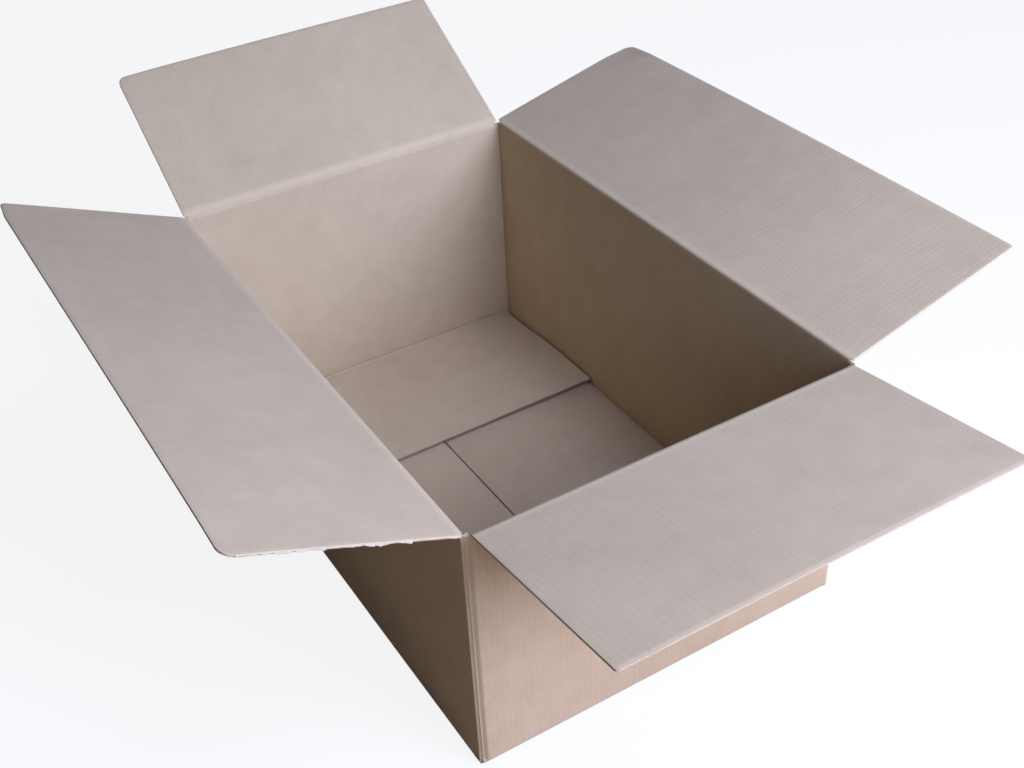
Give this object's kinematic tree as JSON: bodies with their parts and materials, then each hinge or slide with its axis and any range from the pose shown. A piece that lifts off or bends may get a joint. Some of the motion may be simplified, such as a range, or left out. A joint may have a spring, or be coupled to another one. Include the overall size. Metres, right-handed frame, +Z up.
{
  "type": "open cardboard box",
  "caption": "Open corrugated shipping carton with closed bottom and hinged top flaps folded out.",
  "frame": {"origin": "on the underside of the bottom, at the middle of the box's length and width", "axes": "+X along the long walls towards the right end wall, -Y towards the front long wall, +Z up"},
  "size_m": [0.9673, 0.7665, 0.3777],
  "materials": {
    "kraft_board": "matt recycled kraft liner on fluted board"
  },
  "bodies": {
    "carton": {"carton_body": "kraft_board"},
    "front_flap": {"long_flap_front": "kraft_board"},
    "back_flap": {"long_flap_back": "kraft_board"},
    "left_flap": {"end_flap_left": "kraft_board"},
    "right_flap": {"end_flap_right": "kraft_board"}
  },
  "joints": [
    {"name": "front_flap_fold", "type": "hinge", "parent": "carton", "child": "front_flap", "pos_m": [0, -0.1975, 0.2728], "axis": [-1, 0, 0], "range_deg": [-82.9, 157.1]},
    {"name": "back_flap_fold", "type": "hinge", "parent": "carton", "child": "back_flap", "pos_m": [0, 0.1975, 0.2728], "axis": [1, 0, 0], "range_deg": [-75.3, 164.7]},
    {"name": "left_flap_fold", "type": "hinge", "parent": "carton", "child": "left_flap", "pos_m": [-0.303, 0, 0.271], "axis": [0, 1, 0], "range_deg": [-92, 148]},
    {"name": "right_flap_fold", "type": "hinge", "parent": "carton", "child": "right_flap", "pos_m": [0.303, 0, 0.271], "axis": [0, -1, 0], "range_deg": [-67.7, 172.3]}
  ]
}
